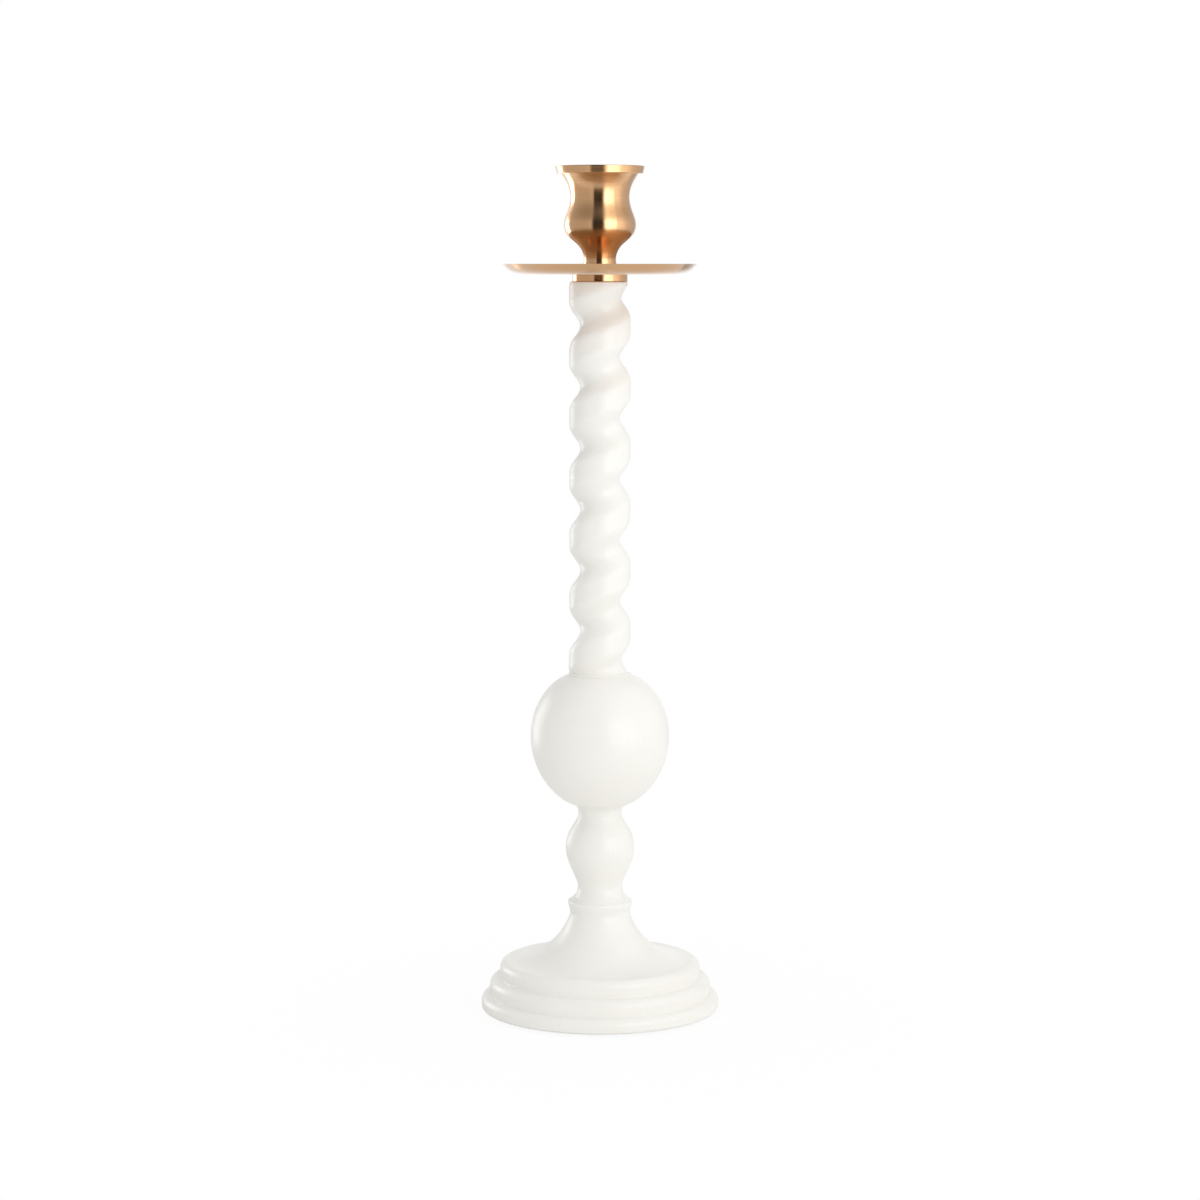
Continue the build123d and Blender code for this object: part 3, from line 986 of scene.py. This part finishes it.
class CANDLEHOLDER_OT_candle_cup(PieceOperator, bpy.types.Operator):
    """Turned brass cup with a flange, bored for the candle"""

    bl_idname = "candle_holder.candle_cup"
    bl_label = "Candle cup"

    def build(self, sizes, finish):
        """Curve through the neck, bulb, waist and flare, closed through the flange and bore."""
        spigot, top = low("candle_cup"), high("candle_cup")
        bottom = top - 46.2
        bore, bore_floor = sizes.candle_diameter / MM / 2 + 0.25, top - 28.0
        foot, neck = (8.4, bottom), (7.2, bottom + 5.6)
        bulb, waist = (bore + 4.85, bottom + 20.8), (bore + 1.95, bottom + 32.3)
        flare = (bore + 6.05, top - 3.4)
        side = passing(
            neck,
            ((0.24, 0.35), (0.69, 0.58), (0.89, 0.72)),
            bulb,
            ((0.65, 0.565),),
            waist,
            ((0.15, 0.40), (0.56, 0.74)),
            flare,
        )
        mouth = flare[0] + 1.1
        flange = rounded(
            [flare, (flare[0] + 2.0, flare[1]), (flare[0] + 2.7, top), (mouth, top)], (0.3, 0.3)
        )
        throat_foot = (bore, top - 8.0)
        throat = leaving(throat_foot, (mouth, top), (0, 1), 20)[::-1]
        stud_steps = (THREAD_CREST, spigot, SPIGOT, bottom, foot[0])
        start = stairs((0, high("cup_stud")), *stud_steps, level=True)
        start = rounded(start, (0, 0.2, 0.3, 0.15))
        end = rounded(stairs(throat_foot, bore_floor, 0), (0.8,))
        path = outline(start, flowing([foot, *side]), flange, throat, end)
        turned("cup_turned", path, "candle_cup", "satin_brass", finish, 208)


class CANDLEHOLDER_OT_cup_stud(PieceOperator, bpy.types.Operator):
    """Threaded stud that joins the cup to the column"""

    bl_idname = "candle_holder.cup_stud"
    bl_label = "Cup stud"

    def build(self, sizes, finish):
        """Crest radius less the depth of the thread, inside a 45 degree cone at each end."""
        pitch, columns, end_cut = sizes.thread_pitch / MM, 64, 0.5
        bottom, top, outer = extent("cup_stud")
        levels, to_end = thread_levels(bottom, top, pitch)
        cut = outer - THREAD_DEPTH * thread(levels, columns, pitch)
        cut = np.minimum(cut, outer - end_cut + to_end)
        face = np.linspace(0, 1, 6)[:-1, None]
        radius, height = stacked(
            (face * cut[0], bottom), (cut, levels), (face[::-1] * cut[-1], top)
        )
        skin("stud_threaded", radius, height, "cup_stud", "zinc_steel", finish)


# ---- studio ----


class CANDLEHOLDER_OT_studio(bpy.types.Operator):
    """Pale floor, white backdrop, soft boxes and the camera"""

    bl_idname = "candle_holder.studio"
    bl_label = "Studio"
    bl_options = {"REGISTER", "UNDO"}

    def execute(self, context):
        studio = context.scene.candle_holder_studio
        context.scene.view_settings.view_transform = "Standard"
        self.lay_floor()
        self.light_room(studio)
        right, left = studio.right_box_level, studio.left_strip_level
        self.soft_box("right_box", right, (0.92, 1.15), bearing=35.5, height=0.40, distance=1.25)
        self.soft_box("left_strip", left, (0.52, 0.98), bearing=-129, height=0.12, distance=1.15)
        self.set_camera(context)
        return {"FINISHED"}

    def lay_floor(self):
        """Flat ring round the object's foot, white to the camera and in mirrors.

        It keeps the object's shadow by a share that fades with the distance from the axis. Its
        hole is hidden under the base and lets light reach the felt in views from below, where
        the ring itself is clear.
        """
        columns = 96
        turn, inner, outer = circle(columns), 0.985 * girth("felt_pad") * MM, 0.6
        reach = np.array((inner, outer))[:, None]
        rims = np.stack([reach * np.cos(turn), reach * np.sin(turn), reach * np.zeros(columns)], -1)
        here = np.arange(columns)
        there = np.roll(here, -1)
        quads = np.c_[here, here + columns, there + columns, there]
        mesh = bpy.data.meshes.new("floor")
        mesh.from_pydata(rims.reshape(-1, 3), [], quads.tolist())
        floor = stand("floor", mesh)
        mesh.materials.append(self.floor_paint())

    def floor_paint(self):
        """Matt white for light, plain white for what looks at it, and clear from below."""
        paint = bpy.data.materials.new("pale_floor")
        tree = cleared(paint)
        rays = put(tree, "ShaderNodeLightPath").outputs
        distance = from_axis(tree)
        seen = remap(tree, distance, 0.07, 0.24, 0.93, 1.0)
        seen = maths(tree, "MULTIPLY", rays["Is Camera Ray"], seen)
        mirrored = remap(tree, distance, 0.15, 0.60, 0.0, 0.65)
        mirrored = maths(tree, "MULTIPLY", rays["Is Glossy Ray"], mirrored)
        white_share = maths(tree, "MAXIMUM", seen, mirrored)
        matt = put(tree, "ShaderNodeBsdfDiffuse", {"Color": (0.95, 0.945, 0.93, 1)})
        white = put(tree, "ShaderNodeEmission", {"Color": (1, 1, 1, 1)})
        clear = put(tree, "ShaderNodeBsdfTransparent")
        under = put(tree, "ShaderNodeNewGeometry").outputs["Backfacing"]
        top = self.mix_shaders(tree, white_share, matt, white)
        both = self.mix_shaders(tree, under, top, clear)
        put(tree, "ShaderNodeOutputMaterial", {"Surface": both.outputs[0]})
        return paint

    def mix_shaders(self, tree, share, first, second):
        """Mixes two shaders by a share."""
        values = {0: share, 1: first.outputs[0], 2: second.outputs[0]}
        return put(tree, "ShaderNodeMixShader", values)

    def light_room(self, studio):
        """World of the studio: a white backdrop, walls dimmer higher up, a dark gap at the camera.

        The bearing is the angle round the upright axis from the camera's side. It goes through
        one ramp of brightness for reflections that the camera sees and a softer one for all
        other light, also for what the brass throws on the column. Camera rays see white on
        every side.
        """
        world = bpy.data.worlds.new("white_studio")
        bpy.context.scene.world = world
        tree = cleared(world)
        way = put(tree, "ShaderNodeTexCoord").outputs["Generated"]
        right, back, up = put(tree, "ShaderNodeSeparateXYZ", {0: way}).outputs
        turn = maths(tree, "ARCTAN2", right, maths(tree, "MULTIPLY", back, -1.0))
        turn = remap(tree, turn, -pi, pi)
        walls, fill = studio.room_level, studio.fill_level
        mirrored_stops = (
            (-180, 1.0), (-150, 0.9), (-132, walls * 1.1), (-84, walls), (-46, walls),
            (-28, walls * 1.15), (-22, 0.03), (8, 0.02), (15, walls * 1.6), (26, walls * 4.4),
            (40, walls * 3.2), (60, walls * 2.5), (80, walls * 2.0), (97, walls * 1.35),
            (115, walls * 1.15), (150, walls * 0.85), (168, 1.0),
        )
        fill_stops = [
            (bearing, fill * share)
            for bearing, share in (
                (-180, 0.78), (-140, 0.60), (-100, 0.40), (-60, 0.46), (-25, 0.95),
                (5, 1.24), (35, 1.10), (70, 1.13), (110, 1.06), (145, 0.88),
            )
        ]
        overhead = remap(tree, up, 0.55, 0.9)
        fill_ring = self.ring_of_light(tree, turn, fill_stops)
        lighting = blend(tree, overhead, fill_ring, shade((1, 1, 1), fill * 0.89))
        mirrored_ring = self.ring_of_light(tree, turn, mirrored_stops)
        upper_walls = remap(tree, up, 0.28, 0.6, 0.0, 0.5)
        mirrored_ring = blend(tree, upper_walls, mirrored_ring, shade((1, 1, 1), 0.1))
        ceiling = remap(tree, right, -0.1, 0.45, 0.25, 0.7)
        mirroring = blend(tree, overhead, mirrored_ring, ceiling)
        rays = put(tree, "ShaderNodeLightPath").outputs
        straight = maths(tree, "LESS_THAN", rays["Diffuse Depth"], 0.5)
        shows = maths(tree, "MULTIPLY", rays["Is Glossy Ray"], straight)
        sides = blend(tree, shows, lighting, mirroring)
        room = put(tree, "ShaderNodeBackground", {"Color": sides})
        white = put(tree, "ShaderNodeBackground", {"Color": (1, 1, 1, 1)})
        backdrop = remap(tree, back, 0.88, 0.97)
        mirrored = maths(tree, "MULTIPLY", rays["Is Glossy Ray"], backdrop)
        through = maths(tree, "MAXIMUM", rays["Is Camera Ray"], rays["Is Transmission Ray"])
        seen = maths(tree, "MAXIMUM", mirrored, through)
        both = self.mix_shaders(tree, seen, room, white)
        put(tree, "ShaderNodeOutputWorld", {"Surface": both.outputs[0]})

    def ring_of_light(self, tree, turn, stops):
        """Ramp of brightness round the axis, from stops of bearing and level.

        The first stop is straight behind the object, where both ends of the ramp meet.
        """
        ramp = put(tree, "ShaderNodeValToRGB", {0: turn})
        marks = ramp.color_ramp.elements
        for degrees, level in stops[1:]:
            marks.new((degrees + 180) / 360).color = (level, level, level, 1)
        behind = stops[0][1]
        for end in (marks[0], marks[-1]):
            end.color = (behind, behind, behind, 1)
        return ramp.outputs["Color"]

    def soft_box(self, name, level, size, bearing, height, distance):
        """Rectangle of light at a bearing from the camera's side, facing the axis.

        It shows in reflections alone. Its power is its brightness times pi times its area.
        """
        lamp = bpy.data.lights.new(name, "AREA")
        lamp.shape = "RECTANGLE"
        lamp.size, lamp.size_y = size
        lamp.energy = level * pi * size[0] * size[1]
        box = stand(name, lamp)
        angle, aim_height = radians(bearing), 0.2
        box.location = (distance * sin(angle), -distance * cos(angle), height)
        aim = Vector((0, 0, aim_height)) - box.location
        box.rotation_euler = aim.to_track_quat("-Z", "Y").to_euler()
        box.visible_camera = False
        box.visible_diffuse = False

    def set_camera(self, context):
        """Camera in front of the object, level with the plate's rim and tipped slightly down."""
        distance, height, tip = 1.3515, 0.33697, 6.33
        lens = bpy.data.cameras.new("front_camera")
        lens.sensor_width = 36.0
        lens.lens = 90.87
        camera = stand("front_camera", lens)
        camera.location = (0.0, -distance, height)
        camera.rotation_euler = (radians(90 - tip), 0.0, 0.0)
        context.scene.camera = camera


# ---- sidebar and registration ----

SETTINGS = {
    "candle_holder_sizes": CandleHolderSizes,
    "candle_holder_finishes": CandleHolderFinishes,
    "candle_holder_studio": CandleHolderStudio,
}
PIECES = (
    CANDLEHOLDER_OT_felt_pad,
    CANDLEHOLDER_OT_stepped_base,
    CANDLEHOLDER_OT_base_fixings,
    CANDLEHOLDER_OT_threaded_inserts,
    CANDLEHOLDER_OT_ball_spindle,
    CANDLEHOLDER_OT_column_dowel,
    CANDLEHOLDER_OT_spiral_column,
    CANDLEHOLDER_OT_collar,
    CANDLEHOLDER_OT_drip_plate,
    CANDLEHOLDER_OT_candle_cup,
    CANDLEHOLDER_OT_cup_stud,
    CANDLEHOLDER_OT_studio,
)


class CANDLEHOLDER_PT_pieces(bpy.types.Panel):
    """Lists the pieces and their settings"""

    bl_label = "Spiral Candle Holder"
    bl_idname = "CANDLEHOLDER_PT_pieces"
    bl_space_type = "VIEW_3D"
    bl_region_type = "UI"
    bl_category = "Candle Holder"

    def draw(self, context):
        for group, kind in SETTINGS.items():
            box = self.layout.box()
            for name in kind.__annotations__:
                box.prop(getattr(context.scene, group), name)
        for piece in PIECES:
            self.layout.operator(piece.bl_idname)


CLASSES = (*SETTINGS.values(), *PIECES, CANDLEHOLDER_PT_pieces)


def register():
    for kind in CLASSES:
        bpy.utils.register_class(kind)
    for group, kind in SETTINGS.items():
        setattr(bpy.types.Scene, group, PointerProperty(type=kind))


def unregister():
    for group in SETTINGS:
        delattr(bpy.types.Scene, group)
    for kind in reversed(CLASSES):
        bpy.utils.unregister_class(kind)


def main():
    """Registers the add-on, then builds every piece and the studio."""
    register()
    for piece in PIECES:
        group, name = piece.bl_idname.split(".")
        getattr(getattr(bpy.ops, group), name)()


if __name__ == "__main__":
    main()
